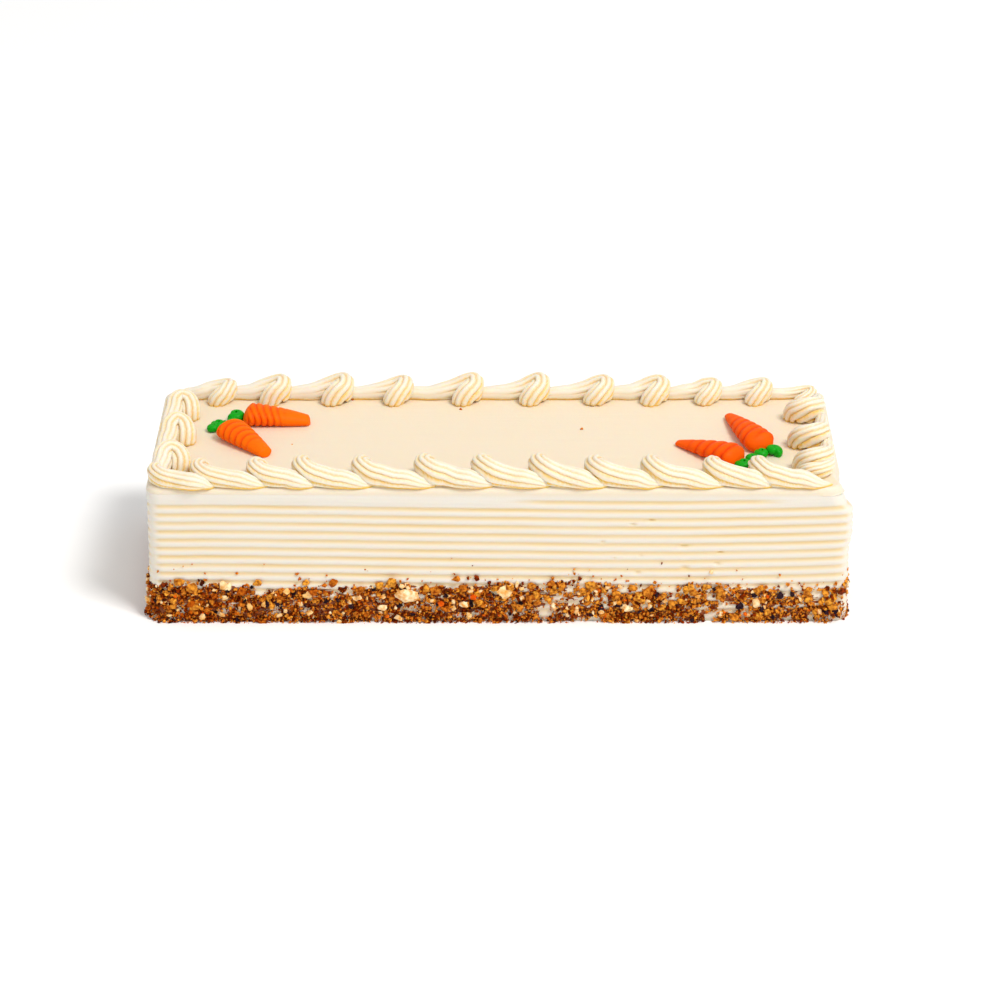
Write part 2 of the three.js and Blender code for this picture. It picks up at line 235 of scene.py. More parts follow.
# the larger clumps show the crust's own mottling, coarser than on a single crumb
clumpCrust = crumbMaterial("bakedCarrotCakeClumpMottled", {
    "light": "#FFB440", "dark": "#C45806", "speck": "#7A2A04", "mottleSize": 1.5 * mm,
    "pitDepth": 0.35 * mm, "roughness": 0.5, "glow": 0.15})
darkCrumb = crumbMaterial("bakedCarrotCakeCrumbDarkCrust", {
    "light": "#A63C04", "dark": "#4E1402", "speck": "#280802", "mottleSize": 0.9 * mm,
    "pitDepth": 0.25 * mm, "roughness": 0.5, "glow": 0.06})
raisinSkin = crumbMaterial("raisinSkinDriedWrinkled", {
    "light": "#3A2530", "dark": "#1E1216", "speck": "#120A0C", "mottleSize": 1.2 * mm,
    "pitDepth": 0.3 * mm, "roughness": 0.4, "glow": 0.0})
nutMeat = crumbMaterial("walnutMeatChopped", {
    "light": "#FFF0C8", "dark": "#F6C474", "speck": "#E09838", "mottleSize": 2.2 * mm,
    "pitDepth": 0.25 * mm, "roughness": 0.5, "glow": 0.15})
carrotShred = crumbMaterial("carrotShredsBaked", {
    "light": "#F87A1C", "dark": "#E05008", "speck": "#C04008", "mottleSize": 1.4 * mm,
    "pitDepth": 0.15 * mm, "roughness": 0.45, "glow": 0.15})


def sugarMaterial(name, look):
    # coloured sugar icing set to a skin: a soft shine on the swells, and the creases painted a deeper
    # colour, a painted shade
    m = newMaterial(name)
    place = addNode(m, "ShaderNodeTexCoord").outputs["Object"]
    hollowShade = addNode(m, "ShaderNodeAttribute", attribute_name="hollowShade").outputs["Fac"]
    cloud = addNode(m, "ShaderNodeTexNoise", {"Vector": place, "Scale": 1 / look["cloudSize"],
                                              "Detail": 2})
    tone = addNode(m, "ShaderNodeMix", {0: cloud.outputs["Fac"], 6: linear(look["light"]),
                                        7: linear(look["deep"])}, data_type="RGBA")
    creaseShade = addNode(m, "ShaderNodeMix", {0: hollowShade, 6: tone.outputs[2], 7: linear(look["creaseShade"])},
                     data_type="RGBA")
    grain = addNode(m, "ShaderNodeTexNoise", {"Vector": place, "Scale": 1 / look["grainSize"],
                                              "Detail": 3})
    bump = addNode(m, "ShaderNodeBump", {"Height": grain.outputs["Fac"], "Distance": look["grainDepth"]})
    shader = addNode(m, "ShaderNodeBsdfPrincipled", {
        "Base Color": creaseShade.outputs[2], "Roughness": look["roughness"], "IOR": 1.42,
        "Specular IOR Level": look["shine"], "Subsurface Weight": 0.12,
        "Subsurface Radius": (1.0, 0.3, 0.1), "Subsurface Scale": 0.8 * mm,
        "Normal": bump.outputs["Normal"]})
    addNode(m, "ShaderNodeOutputMaterial", {"Surface": shader.outputs["BSDF"]})
    return m


orangeCarrotIcing = sugarMaterial("carrotSugarIcingOrange", {
    "light": "#FC7400", "deep": "#F86400", "creaseShade": "#E83A00", "cloudSize": 8 * mm,
    "grainSize": 1.5 * mm, "grainDepth": 0.05 * mm, "roughness": 0.5, "shine": 0.1})
redCarrotIcing = sugarMaterial("carrotSugarIcingRedOrange", {
    "light": "#FE6400", "deep": "#FA5600", "creaseShade": "#E23400", "cloudSize": 8 * mm,
    "grainSize": 1.5 * mm, "grainDepth": 0.05 * mm, "roughness": 0.5, "shine": 0.1})
leafIcing = sugarMaterial("leafSugarIcingGreen", {
    "light": "#10AE16", "deep": "#04980C", "creaseShade": "#047208", "cloudSize": 4 * mm,
    "grainSize": 1.5 * mm, "grainDepth": 0.05 * mm, "roughness": 0.4, "shine": 0.2})


# where the crumb band lies: its ragged top and the bare patches, used by the wall and by the crumbs

crumbBand = {
    "height": 18.5 * mm,
    "ragged": 5 * mm,            # how far the upper edge wanders
    "raggedWaves": (16, 5),      # length in mm of its long and its short waves
    "bulge": 2.6 * mm,           # how far the heap stands out at the foot
    "bulgeHeight": 9 * mm,
    "bulgePower": 1.3,
    # the bare patches and the bare spots: length and height in mm
    "patch": (6, 3.8),
    "spot": (2.6, 1.9),
    "spotShare": 0.5,
    "covered": 0.1,              # the more, the fewer bare places
    "barerRight": (0.22, 0.13, 0.165),  # more bare towards the right: by how much, up to where, of what
    "barerTop": (0.12, 0.019),   # and towards the upper edge
    "bareFrom": (0.18, 0.5),     # a crumb is left out where it is barer than a draw between these
    "standOut": (-0.05, 0.28),   # how far a crumb stands out, as a share of its size
    "flatterRight": 0.7,         # less so at the right end
    "strayReach": 3 * mm,        # how far above the edge strays lie
    "sizePower": 1.7,            # small crumbs are commoner than large ones
    "stretch": (0.6, 1.25),
    "flatFrom": 4.2 * mm,        # pieces larger than this lie flat against the wall
    "flatShare": 0.5,
    "placedOut": (0.9 * mm, 0.12),   # how far a placed piece stands out, with a share of its size
    "reach": (168.8 * mm, 60.35 * mm),  # nothing of the band goes further out than this
    "lumps": 7,
    "sharpAngle": 50,
    "thinned": {"darkCrumbs": 0.5},     # share of the dark crumbs that is left at the right end
    "browned": 0.65,             # the crumbs are paler at the right end than at the left
    # size: smallest and largest in mm; fine: how often a lump is divided; stray: share that lies above
    # the edge; power: above 1 the crumbs gather at the foot
    "mix": [
        {"name": "caramelCrumbs", "count": 8600, "size": (0.7, 2.1),
         "fine": 1, "stray": 0.012, "power": 0.95},
        {"name": "caramelClumps", "count": 560, "size": (2.2, 4.0),
         "fine": 2, "stray": 0.0, "power": 0.7},
        {"name": "darkCrumbs", "count": 6200, "size": (0.7, 2.1),
         "fine": 1, "stray": 0.008, "power": 1.25},
        {"name": "crumbDust", "count": 6000, "size": (0.5, 1.1),
         "fine": 1, "stray": 0.012, "power": 1.8},
        {"name": "raisinPieces", "count": 120, "size": (1.6, 3.0),
         "fine": 2, "stray": 0.0, "power": 0.8},
        {"name": "nutPieces", "count": 380, "size": (1.4, 3.6),
         "fine": 2, "stray": 0.01, "power": 0.7},
        {"name": "carrotShreds", "count": 90, "size": (1.1, 2.2),
         "fine": 2, "stray": 0.0, "power": 1.0},
    ],
    # single pieces on the front: along, up, size in mm
    "placed": {
        "nutPieces": [
            (-43.9, 13.6, 9.0), (-16.5, 9.5, 5.2), (2.4, 15.8, 6.4), (-130.0, 19.2, 5.0),
            (-118.0, 8.0, 4.6), (122.0, 10.0, 4.5), (-90.0, 14.0, 4.8), (60.0, 7.0, 4.4)],
        "caramelClumps": [
            (15.0, 12.4, 6.0), (18.4, 13.4, 5.4), (154.0, 15.0, 5.0), (157.0, 11.0, 5.4),
            (152.5, 10.6, 4.6), (158.5, 7.4, 4.6), (123.0, 3.4, 5.2), (127.5, 4.4, 4.4),
            (-30.0, 16.0, 4.8), (-144.0, 8.0, 4.8), (104.0, 17.0, 4.2), (92.0, 15.6, 4.4),
            (-50.5, 20.4, 5.6), (-56.4, 19.4, 4.6), (-19.9, 22.6, 4.8), (-34.3, 18.0, 4.4),
            (15.6, 18.6, 4.8), (24.6, 20.4, 5.4), (29.9, 19.4, 4.6), (43.9, 18.6, 5.2),
            (63.2, 17.6, 4.6), (-150.9, 20.8, 5.0), (-144.4, 17.4, 5.6), (-113.7, 20.4, 4.8),
            (-91.0, 20.6, 4.6), (-78.0, 20.2, 4.6), (98.0, 18.0, 4.4), (88.6, 17.0, 4.6),
            (123.7, 17.6, 4.4), (146.0, 16.0, 4.6), (70.9, 16.0, 5.8), (66.7, 12.4, 5.0)],
        "darkCrumbs": [
            (-158.4, 19.1, 3.6), (-140.0, 20.4, 3.4), (-10.5, 23.0, 2.6), (73.5, 15.4, 3.4),
            (68.0, 13.4, 3.2), (162.0, 16.0, 3.8), (157.5, 12.6, 3.6), (155.0, 17.4, 3.4),
            (-48.5, 19.2, 3.0)],
        "raisinPieces": [
            (-47.0, 8.4, 3.6), (-13.0, 9.5, 3.8), (74.5, 14.3, 2.8), (114.0, 8.2, 3.4),
            (133.0, 13.8, 4.0), (138.6, 14.3, 3.2), (155.0, 4.8, 3.2), (159.4, 4.8, 4.4),
            (48.5, 6.8, 3.2), (57.0, 8.6, 3.4), (-70.0, 8.0, 3.2), (-110.0, 9.0, 3.4)],
        "carrotShreds": [
            (-11.8, 13.2, 3.0), (-53.0, 3.0, 3.0), (-27.4, 9.5, 2.6), (51.0, 3.5, 4.2),
            (-7.0, 3.2, 2.4)],
    },
    # specks that fell on the front wall: along and up in mm
    "specks": [
        (-153.0, 27.2), (-144.4, 29.8), (-138.5, 25.0), (-123.5, 25.0), (44.5, 23.5), (48.4, 22.0),
        (57.8, 23.8), (61.0, 21.0), (52.6, 20.0), (55.2, 21.8), (-21.0, 24.8), (-63.0, 27.0),
        (-43.0, 22.0)],
    # and on the top: along and inward
    "topSpecks": [(-99.0, -7.5), (-18.6, 33.0), (40.0, 10.0), (-72.0, 44.5)],
    "speckSize": (0.7, 1.7),
    "speckOut": 0.3 * mm,
    "speckLumps": 4,
}


def aroundWall(distance, out):
    # a point on the foot's outline, walked anticlockwise from the front left, and the way it faces
    radius = icing["corner"]
    coreX, coreY = icing["length"] / 2 - radius, icing["width"] / 2 - radius
    arc = math.pi / 2 * radius
    sides = [(-coreX, -coreY, 1, 0, 2 * coreX), (coreX, -coreY, 0, 1, 2 * coreY),
             (coreX, coreY, -1, 0, 2 * coreX), (-coreX, coreY, 0, -1, 2 * coreY)]
    for x, y, stepX, stepY, straight in sides:
        if distance <= straight:
            faceX, faceY = stepY, -stepX
            return (x + stepX * distance + faceX * (radius + out),
                    y + stepY * distance + faceY * (radius + out), faceX, faceY)
        distance -= straight
        if distance <= arc:
            turn = distance / radius
            faceX = stepY * math.cos(turn) + stepX * math.sin(turn)
            faceY = -stepX * math.cos(turn) + stepY * math.sin(turn)
            return (x + stepX * straight + faceX * (radius + out),
                    y + stepY * straight + faceY * (radius + out), faceX, faceY)
        distance -= arc
    return aroundWall(0.0, out)


def walkedTo(x, y):
    # the distance walked round the foot to the place nearest a point
    radius = icing["corner"]
    coreX, coreY = icing["length"] / 2 - radius, icing["width"] / 2 - radius
    arc = math.pi / 2 * radius
    turn = math.atan2(y - max(-coreY, min(coreY, y)), x - max(-coreX, min(coreX, x)))
    quarter = round(turn / (math.pi / 2))
    onLeft = 4 * coreX + 2 * coreY + 3 * arc + coreY - y
    starts = {-1: x + coreX, 0: 2 * coreX + arc + y + coreY, 1: 2 * (coreX + coreY + arc) + coreX - x,
              2: onLeft, -2: onLeft}
    return starts[quarter] % perimeter


perimeter = 2 * (icing["length"] + icing["width"] - 4 * icing["corner"]) + 2 * math.pi * icing["corner"]


def bandTop(distance, spec):
    # the ragged upper edge
    place = distance * 1000
    long, short = spec["raggedWaves"]
    edge = noise.noise(Vector((place / long, 0.5, 3.5)))
    edge += 0.6 * noise.noise(Vector((place / short, 1.5, 9.5)))
    return spec["height"] + spec["ragged"] * edge


def bareness(distance, z, spec):
    # where icing shows between the crumbs
    x = aroundWall(distance, 0)[0]
    along, up = distance * 1000, z * 1000
    patch = noise.noise(Vector((along / spec["patch"][0], up / spec["patch"][1], 12.5)))
    spots = noise.noise(Vector((along / spec["spot"][0], up / spec["spot"][1], 31.5)))
    more, upTo, reach = spec["barerRight"]
    higher, height = spec["barerTop"]
    bare = patch + spec["spotShare"] * spots - spec["covered"]
    return bare + more * min(x, upTo) / reach + higher * z / height


# the iced cake: a sleeve of rings that run up the combed wall, round the rim and in over the top

cakeWall = {
    "straightStep": 2.6 * mm,    # spacing of the columns along a wall
    "fineStep": 1.0 * mm,        # and where the front wall is pitted
    "fineFrom": 42 * mm,
    "fineTo": 112 * mm,
    "cornerSteps": 10,
    "firstGroove": 5.85 * mm,    # below the top
    # the highest mark shows on the front only between these places along it, in mm
    "highMark": (0, 25, 118, 140),
    "pitch": 4.35 * mm,          # of the comb's teeth
    "grooves": 14,
    "depth": 0.75 * mm,
    "grooveHalf": 0.46,          # half a groove's width as a share of the pitch
    "grooveRings": [-0.46, -0.36, -0.27, -0.19, -0.11, 0, 0.11, 0.19, 0.27, 0.36, 0.46],
    # how the comb marks rise and sag along the front: along and up, in mm
    "sway": [(-165, 0.8), (-122, 0.6), (-85, 0.15), (-47, -0.2), (-9, -1.0), (19, -1.25), (47, -1.8),
             (75, -1.75), (103, -1.6), (132, -0.9), (150, -0.3), (165, 0.3)],
    # how every mark wavers: the height and the length of the waves, and their seed
    "waver": [(0.35 * mm, 45 * mm, 1.5), (0.12 * mm, 12 * mm, 4.5)],
    "swell": (0.5 * mm, 60 * mm, 8.5),   # and how the wall swells in and out
    "cornerLift": (0.8, 0.6),    # the comb lifts off at the corners: how far, and from where
    "uneven": (0.25, 35 * mm, 20.5),     # the marks are pressed unevenly: share, length, seed
    "toneDepth": 0.85,           # how far the marks are painted with the hollow colour: painted shade in the grooves
    "ridge": 0.16 * mm,          # how far the icing stands up between the marks
    "rimInset": 2.6 * mm,
    "rimDrop": 2.8 * mm,
    "rimRings": 13,
    "rimStep": 0.04,             # the least rise from ring to ring, in mm
    "shoulderInset": 6.2 * mm,   # the right shoulder is wiped down further
    "shoulderDrop": 8 * mm,
    "rightLean": 4 * mm,         # the right wall leans in towards its top, behind its front corner
    "leanFrom": (100 * mm, 150 * mm),    # along the cake
    "lipStart": 4 * mm,
    "lipEnd": 36 * mm,
    "cornerSlope": 3 * mm,       # the front right corner is rubbed back from here on up
    "slopeFrom": (56 * mm, 64 * mm),
    "cornerLip": 1.5 * mm,       # and stands out a little below that, between these heights
    "lipFrom": (34 * mm, 46 * mm),
    "lipTo": (56 * mm, 60 * mm),
    "rimTone": 0.3,              # the rim is painted with some of the hollow colour and a warmer cream than the combed walls: painted shade
    "bandTone": 0.6,             # and the icing that shows among the crumbs is painted the warmer cream, a painted light over the crumbs' shade
    "dustFrom": (-0.08, 0.2),    # the bareness from which the wall has no crumb dust and no painted shade
    "bandFade": (2 * mm, -3 * mm),   # above and below the band's upper edge
    "bandLimit": 30 * mm,        # no part of the band is higher up the wall
    # the rings that close the top: how far in from the edge, in mm, and how much further at the right
    "topInsets": (4, 6, 9, 13, 18, 23, 28, 33, 38, 43, 48, 52),
    "topShift": 3.6 * mm,
    "topWaves": 0.12 * mm,
    # pits torn in the front wall: along, up, half width, half height, depth, in mm
    "pits": [(61.5, 50.5, 1.6, 0.8, 1.0), (70.3, 52.5, 1.5, 0.7, 1.1), (48.0, 41.5, 1.3, 0.8, 0.8),
             (86.5, 39.0, 2.2, 0.9, 1.0), (87.5, 28.0, 2.4, 1.4, 0.8), (104.0, 36.0, 1.3, 0.6, 1.1),
             (102.5, 30.0, 1.6, 0.7, 1.0), (65.0, 25.2, 2.0, 0.9, 1.0), (66.5, 34.0, 1.2, 0.8, 0.5),
             (-89.0, 56.5, 1.2, 0.6, 0.8), (54.0, 33.0, 1.0, 0.6, 0.5)],
}


def wallColumns(straightStep, cornerSteps):
    # each column: its place along the straight (-1 to 1 both ways) and the way it faces
    coreX = icing["length"] / 2 - icing["corner"]
    coreY = icing["width"] / 2 - icing["corner"]
    columns = []
    sides = [((-1, -1), (1, -1), -90, coreX), ((1, -1), (1, 1), 0, coreY),
             ((1, 1), (-1, 1), 90, coreX), ((-1, 1), (-1, -1), 180, coreY)]
    for start, end, facing, half in sides:
        steps = round(2 * half / straightStep)
        shares = list(np.arange(steps) / steps)
        if facing == -90:
            finer = np.arange(cakeWall["fineFrom"], cakeWall["fineTo"], cakeWall["fineStep"])
            shares = sorted(shares + list((finer + half) / (2 * half)))
        for t in shares:
            columns.append((start[0] + (end[0] - start[0]) * t,
                            start[1] + (end[1] - start[1]) * t, facing))
        for i in range(cornerSteps):
            columns.append((end[0], end[1], facing + 90 * i / cornerSteps))
    columns = np.array(columns)
    turn = np.radians(columns[:, 2])
    return columns[:, 0], columns[:, 1], np.cos(turn), np.sin(turn)


def combStrength(columns):
    # the comb lifts off as it comes to a corner
    cornerness = np.abs(columns[2] * columns[3]) * 2
    share, start = cakeWall["cornerLift"]
    return 1 - share * smoothStep(start, 1, cornerness)


def outlineAt(columns, inset, rightInset, z):
    alongX, alongY, faceX, faceY = columns
    radius = np.maximum(icing["corner"] - inset, 1.5 * mm)
    left = -(icing["length"] / 2 - inset - radius)
    right = icing["length"] / 2 - rightInset - radius
    half = icing["width"] / 2 - inset - radius
    x = left + (right - left) * (alongX + 1) / 2 + faceX * radius
    y = alongY * half + faceY * radius
    lean = cakeWall["rightLean"] * np.clip(z / topZ, 0, 1)
    behindLip = smoothStep(-icing["width"] / 2 + cakeWall["lipStart"], -cakeWall["lipEnd"], y)
    return x - lean * behindLip * smoothStep(*cakeWall["leanFrom"], x), y


def wander(x, y, size, seed):
    return np.array([noise.noise(Vector((a / size, b / size, seed))) for a, b in zip(x, y)])


def iceCake(spec):
    columns = wallColumns(spec["straightStep"], spec["cornerSteps"])
    x0, y0 = outlineAt(columns, 0, 0, 0)
    count = len(x0)
    towardsFront = 0.5 - y0 / icing["width"]
    swayAlong, swayUp = np.array(spec["sway"]).T * mm
    sway = towardsFront * np.interp(x0, swayAlong, swayUp)
    start, full, fading, end = np.array(spec["highMark"]) * mm
    highMark = smoothStep(0.6, 0.9, towardsFront) * smoothStep(start, full, x0)
    highMark *= 1 - smoothStep(fading, end, x0)
    onRight = smoothStep(icing["length"] / 2 - 14 * mm, icing["length"] / 2 - 2 * mm, x0)
    frontRight = smoothStep(-30 * mm, -48 * mm, y0)
    waver = sum(high * wander(x0, y0, long, seed) for high, long, seed in spec["waver"])
    high, long, seed = spec["swell"]
    swell = high * wander(x0, y0, long, seed)
    pressed = combStrength(columns)
    onFront = (y0 < 0) & (np.abs(x0) < icing["length"] / 2 - icing["corner"])
    walked = np.array([walkedTo(x, y) for x, y in zip(x0, y0)])
    bandEdge = np.array([bandTop(distance, crumbBand) for distance in walked])
    rings, hollowShades, dustedAndShaded, crowned = [], [], [], []

    def addRing(z, inset, rightInset, hollowShade, crown=0):
        z = np.full(count, 1.0) * z
        x, y = outlineAt(columns, np.full(count, 1.0) * inset, np.full(count, 1.0) * rightInset, z)
        rings.append(np.stack([x, y, z], axis=1))
        hollowShades.append(np.full(count, 1.0) * hollowShade)
        # painted light: the icing among the crumbs takes part of the warmer crown cream, over the shade
        # the crumbs cast
        inBand = smoothStep(*spec["bandFade"], z - bandEdge)
        crowned.append(np.maximum(crown, spec["bandTone"] * inBand))
        bare = 0
        if np.min(z) < spec["bandLimit"]:
            bare = np.array([bareness(distance, up, crumbBand) for distance, up in zip(walked, z)])
        # under the crumbs the wall is painted dark: crumb dust and painted shade
        dustedAndShaded.append(inBand * (1 - smoothStep(*spec["dustFrom"], bare)))

    addRing(0, -icing["flare"], -icing["flare"], 0)
    unevenness, long, seed = spec["uneven"]
    for i in reversed(range(spec["grooves"])):
        strength = (1 + unevenness * wander(x0, y0, long, seed + i)) * (highMark if i == 0 else 1)
        middle = topZ - spec["firstGroove"] - i * spec["pitch"] + sway + waver
        for share in spec["grooveRings"]:
            dip = 1 - smoothStep(0.02, spec["grooveHalf"], abs(share))
            # painted shade: the middle of each groove takes the hollow colour
            grooveShade = spec["toneDepth"] * (1 - smoothStep(0.04, 0.4, abs(share)))
            ridge = spec["ridge"] * (2 * share) ** 2 * (1 - dip)
            z = middle + share * spec["pitch"]
            flare = icing["flare"] * (1 - z / topZ)
            dug = np.zeros(count)
            for along, up, wide, high, deep in spec["pits"]:
                near = ((x0 - along * mm) / (wide * mm)) ** 2 + ((z - up * mm) / (high * mm)) ** 2
                dug = np.maximum(dug, deep * np.exp(-near * 1.5) * onFront)
            depth = spec["depth"] * dip * strength * pressed + ridge - flare + dug * mm
            lip = spec["cornerLip"] * smoothStep(*spec["lipFrom"], z)
            lip = lip * (1 - smoothStep(*spec["lipTo"], z))
            slope = (spec["cornerSlope"] * smoothStep(*spec["slopeFrom"], z) - lip) * frontRight
            shoulderShare = np.clip(1 - (topZ - z) / spec["shoulderDrop"], 0, 1)
            slope = slope + spec["shoulderInset"] * (1 - np.sqrt(1 - shoulderShare ** 2)) * onRight
            # the pits are painted with the hollow colour as well: painted shade
            addRing(z, depth + swell * 0.3, depth + swell * 0.3 + slope,
                    np.clip(grooveShade * strength * pressed + 0.7 * dug, 0, 1))
    combTop = topZ - spec["firstGroove"] + sway + waver + spec["grooveRings"][-1] * spec["pitch"]
    # the rim fades from some of the hollow colour to the warmer crown cream: painted shade
    for i in range(spec["rimRings"]):
        turn = math.pi / 2 * i / (spec["rimRings"] - 1)
        fade = math.cos(turn)
        rimZ = topZ - spec["rimDrop"] * (1 - math.sin(turn))
        shoulderZ = topZ - spec["shoulderDrop"] * (1 - math.sin(turn))
        z = np.maximum(rimZ + (shoulderZ - rimZ) * onRight, combTop + (i + 1) * spec["rimStep"] * mm)
        slope = spec["cornerSlope"] * smoothStep(*spec["slopeFrom"], z) * frontRight
        addRing(z, spec["rimInset"] * (1 - fade) + swell * 0.3 * fade,
                spec["shoulderInset"] * (1 - fade) + (swell * 0.3 + slope) * fade,
                spec["rimTone"] * fade, 1 - fade)
    # the top is painted all in the warmer crown cream: painted shade
    for inset in spec["topInsets"]:
        rightInset = inset * mm + spec["topShift"]
        x, y = outlineAt(columns, inset * mm, rightInset, topZ)
        waves = spec["topWaves"] * wander(x * 0.3, y, 14 * mm, 31.5)
        addRing(topZ - spec["topWaves"] + waves, inset * mm, rightInset, 0, 1)
    piece = sleeve("icedCake", np.array(rings))
    count = len(piece.data.vertices)
    tagVertices(piece, "hollowShade", np.array(hollowShades).reshape(-1)[:count])
    tagVertices(piece, "dustedAndShaded", np.array(dustedAndShaded).reshape(-1)[:count])
    tagVertices(piece, "crowned", np.array(crowned).reshape(-1)[:count])
    return piece


icedCake = iceCake(cakeWall)
finishPiece(icedCake, smoothIcing, "icing", "cake_body")
print("iced cake:", len(icedCake.data.polygons), "faces")


# a rope of icing: a ridged round section carried along a curve without twisting, closed at both ends

def curveThrough(knots, samples):
    # a Catmull-Rom curve through the knots, walked at an even pace
    knots = np.asarray(knots, dtype=float)
    knots = np.vstack([2 * knots[0] - knots[1], knots, 2 * knots[-1] - knots[-2]])
    spans = len(knots) - 3

    def at(u):
        i = np.minimum(u.astype(int), spans - 1)
        t = (u - i)[:, None]
        a, b, c, d = (knots[i + k] for k in range(4))
        return 0.5 * (2 * b + (c - a) * t + (2 * a - 5 * b + 4 * c - d) * t ** 2
                      + (3 * b - a - 3 * c + d) * t ** 3)

    fine = at(np.linspace(0, spans, 400))
    walked = np.concatenate([[0], np.cumsum(np.linalg.norm(np.diff(fine[:, :3], axis=0), axis=1))])
    even = np.interp(np.linspace(0, walked[-1], samples), walked, np.linspace(0, spans, 400))
    return at(even)


def ropeRings(route, ridges, ridgePoints, ridgeDepth, twist, startDome, endDome):
    # startDome and endDome: the stations over which the rope's two ends are rounded
    stations = len(route)
    along = np.gradient(route[:, :3], axis=0)
    along /= np.linalg.norm(along, axis=1)[:, None]
    side = np.cross(along[0], (0.3, 0.1, 0.95) if abs(along[0][2]) < 0.8 else (0, 1, 0))
    span = np.arange(stations)
    startShare = np.clip((span + 0.15) / startDome, 0, 1)
    endShare = np.clip((stations - 0.85 - span) / endDome, 0, 1)
    dome = np.sqrt(startShare * (2 - startShare)) * np.sqrt(endShare * (2 - endShare))
    points = ridges * ridgePoints
    share = np.arange(points) / points
    rings, hollowShades = [], []
    for i in range(stations):
        side = side - along[i] * np.dot(side, along[i])
        side /= np.linalg.norm(side)
        up = np.cross(along[i], side)
        phase = (share * ridges) % 1
        bulge = np.abs(np.sin(np.pi * phase)) ** 0.6
        angle = 2 * np.pi * share + twist[i]
        reach = route[i, 3] * dome[i] * (1 - ridgeDepth[i] * (1 - bulge))
        ring = route[i, :3] + np.outer(np.cos(angle) * reach, side)
        rings.append(ring + np.outer(np.sin(angle) * reach, up))
        hollowShades.append(1 - bulge)
    return np.array(rings), np.array(hollowShades)


# the piped border: each shell rises at its inner side, turns back over its head and runs out as a tail

shell = {
    # in piping order round the cake: the turn, the inset from the edge, the last tail's length,
    # then each head's place along the side and its height, in mm
    "front": (0, 10, 33, [
        (-158.5, 9.4), (-138.6, 10.4), (-111.9, 11.0), (-90.7, 12.4), (-62.6, 12.5), (-32.9, 13.6),
        (-6.2, 13.6), (20.6, 13.8), (46.3, 12.9), (72.9, 12.9), (101.6, 12.3), (123.2, 12.0)]),
    "right": (90, 16.6, 26, [(-43.0, 7.5), (-36.0, 12.6), (-10.5, 13.2), (20.0, 12.8)]),
    "back": (180, 11, 24, [
        (152.0, 5.6), (128.8, 10.8), (104.2, 10.6), (78.4, 12.5), (50.6, 12.4), (19.0, 13.3),
        (-13.7, 13.5), (-48.1, 12.1), (-77.8, 13.7), (-108.4, 13.1), (-134.4, 10.6)]),
    "left": (-90, 11, 16, [(26.8, 13.0), (-1.2, 13.6), (-33.0, 13.6)]),
    "hangs": {"shell_front_01": 1.6},    # the first shell hangs over the edge, by so many mm
    "overlap": 6.5,              # how far a tail runs on under the next head
    # the rope's route in mm: along, inward, up, with its radius; the first knots are the head's
    "route": [
        (4.6, 5.2, -1.4, 4.9), (4.0, 5.2, 2.0, 5.5), (1.6, 4.5, 5.4, 5.5), (-1.1, 2.2, 7.7, 5.2),
        (-1.4, -1.4, 8.9, 5.0), (2.6, -3.7, 8.3, 5.0), (8.0, -4.3, 6.4, 5.0),
        (14.0, -4.8, 5.0, 4.9), (20.0, -5.1, 4.2, 4.7), (26.0, -5.4, 3.4, 4.4),
        (31.5, -4.8, 1.8, 3.4), (38.0, -3.4, 0.6, 1.8)],
    "headKnots": 5,
    "headHeight": 14.2,          # of the route as it stands
    "tail": 38.0,                # and its length
    "unsteady": 0.3,             # how far the hand strays from the route, in mm
    "stations": 86,
    "thinnest": 0.5 * mm,        # radius at the tip
    # where the nozzle sets down: along and inward, in mm from the route's own start
    "startShift": {"front": (-4.0, 0.0), "right": (-2.0, 0.0), "back": (0.0, 0.0), "left": (0.0, -1.4)},
    "settle": [1, 0.9, 0.6, 0.2],        # the share of that shift at the first knots
    # how far each row's heads and tails lean out, as a share of the route's own lean
    "headOut": {"front": 1.4, "right": 1.5, "back": 1.0, "left": 1.0},
    "tailOut": {"front": 1.35, "right": 1.5, "back": 0.25, "left": 1.0},
    "leanKnots": [4, 7, 9, 11],          # where along the route the head, tail and tip leans hold
    "tipOut": 1.15,              # the tip leans out by this much more than the tail
    "tailShare": {"front": 1.0, "right": 0.72, "back": 0.74, "left": 0.88},   # thickness of the tails
    # a tail thins more than the route does before it runs under the next head
    "tailThin": {"front": 0.6, "right": 1.0, "back": 1.0, "left": 1.0},
    "thinFrom": (0.57, 0.86),
    "tailDrop": {"front": 0.8, "right": 0.0, "back": 0.3, "left": 0.0},       # in mm
    "sunk": 2.6 * mm,            # nothing of a shell hangs lower than this below the top
    "squeeze": 0.18,             # how far the icing under a raised stretch spreads at its foot
    # the ridges of the star nozzle
    "ridges": {"front": 9, "right": 9, "back": 8, "left": 9},
    "ridgePoints": 90,           # points round the rope
    "ridgeDepth": 0.24,
    # how much of the ridges is left on the tails
    "ridgeFade": {"front": 0.85, "right": 0.5, "back": 0.15, "left": 0.6},
    # the ridges wind round the head as the nozzle turns back over it, in radians
    "headTwist": {"front": 1.3, "right": -0.9, "back": -1.0, "left": -0.2},
    "twistTo": 0.42,             # the share of the rope's length over which they do
    # the painted gold of the hollows, a painted shade and glow: the power that widens it, its share at
    # mid height, how much more of it there is lower down, and its least and greatest share
    "gold": (0.75, 0.85, 0.35, 0.5, 1.15),
    "contact": (0.95, 0.1 * mm, 1.7 * mm),   # the painted gold shade line at a shell's foot, and its height
}


